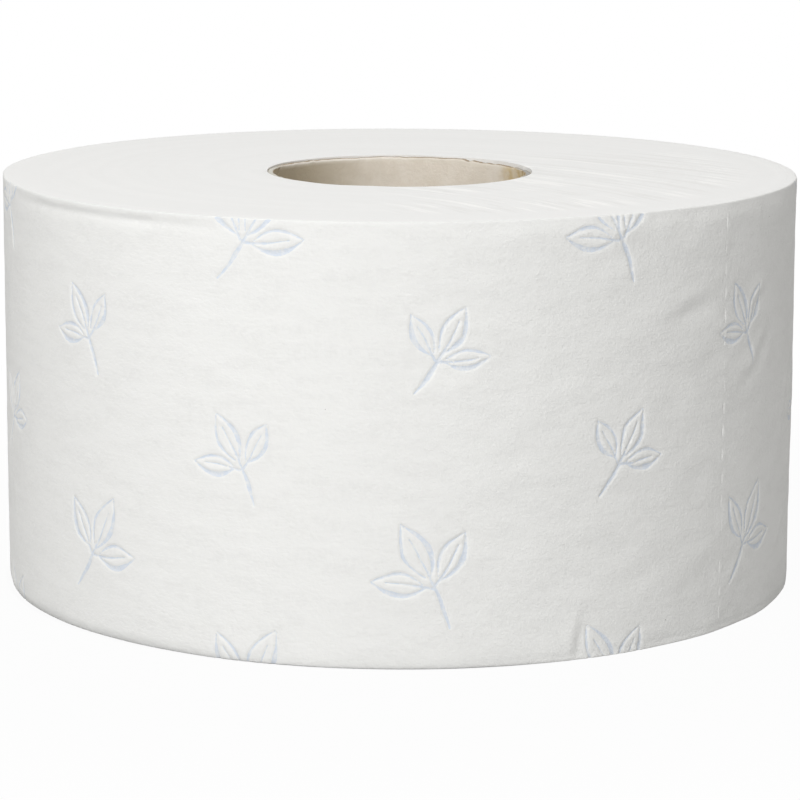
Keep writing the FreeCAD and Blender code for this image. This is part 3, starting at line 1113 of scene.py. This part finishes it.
def makeBoard(fibres, flecks):
    # grey-brown board: mottled wall, pale cut edge, a frayed brown inner lip at the front, browner cut edge
    # and outer lip at the back, a painted highlight on the inner lip at the back, a trace of glue, and
    # darker board inside the left of the hole, partly a stain and partly painted shade
    look = boardLook
    material, tree = newMaterial("core_board")
    place, (x, y, z) = objectPlace(tree)
    innerLip = stored(tree, "inner_lip")
    outerLip = stored(tree, "outer_lip")
    normal = addNode(tree, "ShaderNodeNewGeometry").outputs["Normal"]
    facing = addNode(tree, "ShaderNodeSeparateXYZ", {0: normal}).outputs

    grain = placeGroup(fibres, place, look["fibres"])
    mottle = ranged(noiseOf(place, *look["mottle"]), *look["mottleEdges"])
    torn = ranged(noiseOf(place, look["tornScale"], 3.0), *look["tornEdges"])
    turn = calculated("DIVIDE", calculated("ARCTAN2", y, x), 2 * math.pi)
    rise = calculated("DIVIDE", z, look["seamPitch"])
    phase = calculated("ADD", summed((turn, 1), (rise, 1)), look["seamStart"])
    phase = calculated("SUBTRACT", calculated("FRACT", phase), 0.5)
    seam = ranged(calculated("ABSOLUTE", phase), *look["seamEdges"])

    # darker inside the left of the hole, partly stain and partly painted shade
    stainedAndShaded = ranged(x, *look["stainAndShadeX"])
    glued = times(ranged(x, *look["glueX"]), ranged(z, *look["glueZ"]))
    spots = times(ranged(y, *look["spotY"]), ranged(mottle, 0.62, 0.85))
    edge = layered(
        look["cutEdge"],
        (look["cutBack"], ranged(y, *look["cutBackY"]), 1),
        (look["tip"], ranged(x, *look["tipX"]), 1),
        (look["spot"], spots, 0.8),
    )
    cut = ranged(calculated("ABSOLUTE", facing[2]), 0.6, 0.9)
    # painted highlight on the inner lip at the back, weaker to the right
    highlightedLip = times(innerLip, ranged(y, *look["lipHighlightY"]))
    browned = times(times(innerLip, ranged(y, *look["lipY"])), torn)
    # a brown line along the outer lip at the back, weaker to the right
    behind = times(outerLip, ranged(y, *look["behindY"]))
    behind = times(behind, ranged(x, *look["behindX"]))
    specks = placeGroup(flecks, place, look["flecks"])
    colour = layered(
        look["board"],
        (look["boardDark"], mottle, 0.75),
        (look["boardDark"], grain["Shade"], 0.35),
        (look["boardDark"], seam, 0.6),
        (look["stainAndShade"], stainedAndShaded, 0.9),
        (look["glue"], glued, ranged(torn, 0.0, 1.0, 0.45, 0.95)),
        (edge, cut, 0.9),
        (look["lipHighlight"], highlightedLip, ranged(x, *look["lipHighlightX"])),
        (look["lip"], browned, 0.9),
        (look["lip"], behind, 0.85),
        (look["spot"], specks["Mask"], 0.4),
    )

    relief = summed((grain["Height"], 1), (mottle, 0.3), (seam, -0.8))
    inputs = {"Base Color": colour, "Normal": raised(relief, look["bump"])}
    inputs["Roughness"] = look["roughness"]
    inputs["Specular IOR Level"] = look["specular"]
    finished(addNode(tree, "ShaderNodeBsdfPrincipled", inputs))
    return material


# Floor, light and camera


studio = {
    "floorSize": 6.0,
    "floorColour": (0.55, 0.55, 0.55, 1),
    # painted contact shadow: the floor's colour is made dark close beside the roll's foot, so the foot and
    # that ring of floor render darker
    "paintedContactShadow": (0.05, 0.05, 0.05, 1),  # of the floor close beside the roll's foot
    "contactShadowTo": 0.0953,
    "contactShadowRight": (0.015, 0.045),  # it fades out to the right between these
    "floorWhite": 0.96,  # how much of the floor seen near the roll is plain white
    "whiteRing": (0.11, 0.30),  # it turns all white between these distances from the roll's axis
    "worldLight": 0.35,
    "worldTint": (1.0, 0.98, 0.945, 1),
    "aim": (0.0, 0.0, 0.05),
    "lamps": {  # degrees right of the front, degrees up, distance, diameter, watts
        "key_softbox": (-25.0, 35.0, 1.3, 0.7, 5.2),
        "front_softbox": (0.0, 35.0, 1.3, 0.7, 1.7),
        "low_softbox": (-25.0, 12.0, 1.3, 0.6, 3.4),
        "fill_softbox": (40.0, 35.0, 1.3, 0.7, 0.85),
        "side_softbox": (95.0, 20.0, 1.3, 0.7, 0.45),
        "top_softbox": (0.0, 88.0, 1.2, 0.8, 2.1),
        "back_softbox": (180.0, 35.0, 1.3, 0.7, 4.0),
    },
}

view = {
    "distance": 0.7642,  # from the roll's axis, towards -Y
    "height": 0.187,
    "pitchDown": 0.1885,
    "yaw": 0.0004,
    "roll": 0.0041,
    "focalLength": 145.1,
    "sensorWidth": 36.0,
    "clipStart": 0.05,
}


def seenDirectly(tree):
    # one for rays that reach the camera, also through a reflection or a clear body
    rays = addNode(tree, "ShaderNodeLightPath").outputs
    glossy = calculated("MAXIMUM", rays["Is Camera Ray"], rays["Is Glossy Ray"])
    return calculated("MAXIMUM", glossy, rays["Is Transmission Ray"])


def whiteWhenSeen(shader, white, share, kind):
    # a white stands in for the shader to the share of the rays that see it
    inputs = {0: share, 1: shader.outputs[0], 2: white.outputs[0]}
    finished(addNode(shader.id_data, "ShaderNodeMixShader", inputs), kind)


def makeFloor():
    material, tree = newMaterial("studio_floor")
    place, (x, _, _) = objectPlace(tree)
    far = addNode(tree, "ShaderNodeVectorMath", {0: place}, operation="LENGTH").outputs["Value"]
    # painted contact shadow: dark floor colour out to a little beyond the foot, fading out to the right
    outsideContactShadow = ranged(far, roll["radius"] / mmPerMetre, studio["contactShadowTo"])
    outsideContactShadow = calculated("MAXIMUM", outsideContactShadow, ranged(x, *studio["contactShadowRight"]))
    colour = mixed(outsideContactShadow, studio["paintedContactShadow"], studio["floorColour"])
    diffuse = addNode(tree, "ShaderNodeBsdfDiffuse", {"Color": colour})
    white = addNode(tree, "ShaderNodeEmission", {"Strength": 1.0})
    whiteness = ranged(far, *studio["whiteRing"], studio["floorWhite"], 1.0)
    share = times(seenDirectly(tree), whiteness)
    whiteWhenSeen(diffuse, white, share, "ShaderNodeOutputMaterial")
    half = studio["floorSize"] / 2
    mesh = bpy.data.meshes.new("studio_floor")
    corners = [(-half, -half, 0), (half, -half, 0), (half, half, 0), (-half, half, 0)]
    mesh.from_pydata(corners, [], [(0, 1, 2, 3)])
    mesh.materials.append(material)
    floor = bpy.data.objects.new("studio_floor", mesh)
    scene.collection.objects.link(floor)


def makeWorld():
    world = bpy.data.worlds.new("studio_world")
    world.use_nodes = True
    tree = world.node_tree
    tree.nodes.clear()
    inputs = {"Color": studio["worldTint"], "Strength": studio["worldLight"]}
    light = addNode(tree, "ShaderNodeBackground", inputs)
    white = addNode(tree, "ShaderNodeBackground", {"Color": (1, 1, 1, 1)})
    whiteWhenSeen(light, white, seenDirectly(tree), "ShaderNodeOutputWorld")
    scene.world = world


def makeLamps():
    aim = Vector(studio["aim"])
    for name, (right, up, distance, diameter, watts) in studio["lamps"].items():
        lamp = bpy.data.lights.new(name, "AREA")
        lamp.shape = "DISK"
        lamp.size = diameter
        lamp.energy = watts
        sideways, upward = math.radians(right), math.radians(up)
        level = math.cos(upward)
        direction = (level * math.sin(sideways), -level * math.cos(sideways), math.sin(upward))
        offset = Vector(direction) * distance
        holder = bpy.data.objects.new(name, lamp)
        holder.location = aim + offset
        holder.rotation_euler = (-offset).to_track_quat("-Z", "Y").to_euler()
        scene.collection.objects.link(holder)


def makeCamera():
    lens = bpy.data.cameras.new("photo_camera")
    lens.sensor_width = view["sensorWidth"]
    lens.lens = view["focalLength"]
    lens.clip_start = view["clipStart"]
    camera = bpy.data.objects.new("photo_camera", lens)
    turned = Matrix.Rotation(-view["yaw"], 4, "Z")
    turned = turned @ Matrix.Rotation(math.pi / 2 - view["pitchDown"], 4, "X")
    turned = turned @ Matrix.Rotation(view["roll"], 4, "Z")
    camera.matrix_world = Matrix.Translation((0, -view["distance"], view["height"])) @ turned
    scene.collection.objects.link(camera)
    scene.camera = camera


fibres = makeFibreGroup()
flecks = makeFleckGroup()
sideTissue = makeSideTissue(fibres, flecks)
endTissue = makeEndTissue(fibres, flecks)
board = makeBoard(fibres, flecks)
print("materials ready")

makeOuterTurns(sideTissue, endTissue)
makeWoundTurns(endTissue)
makeCoreBoard(board)
print("pieces ready")

scene.view_settings.view_transform = "Standard"
makeFloor()
makeWorld()
makeLamps()
makeCamera()
print("studio ready")
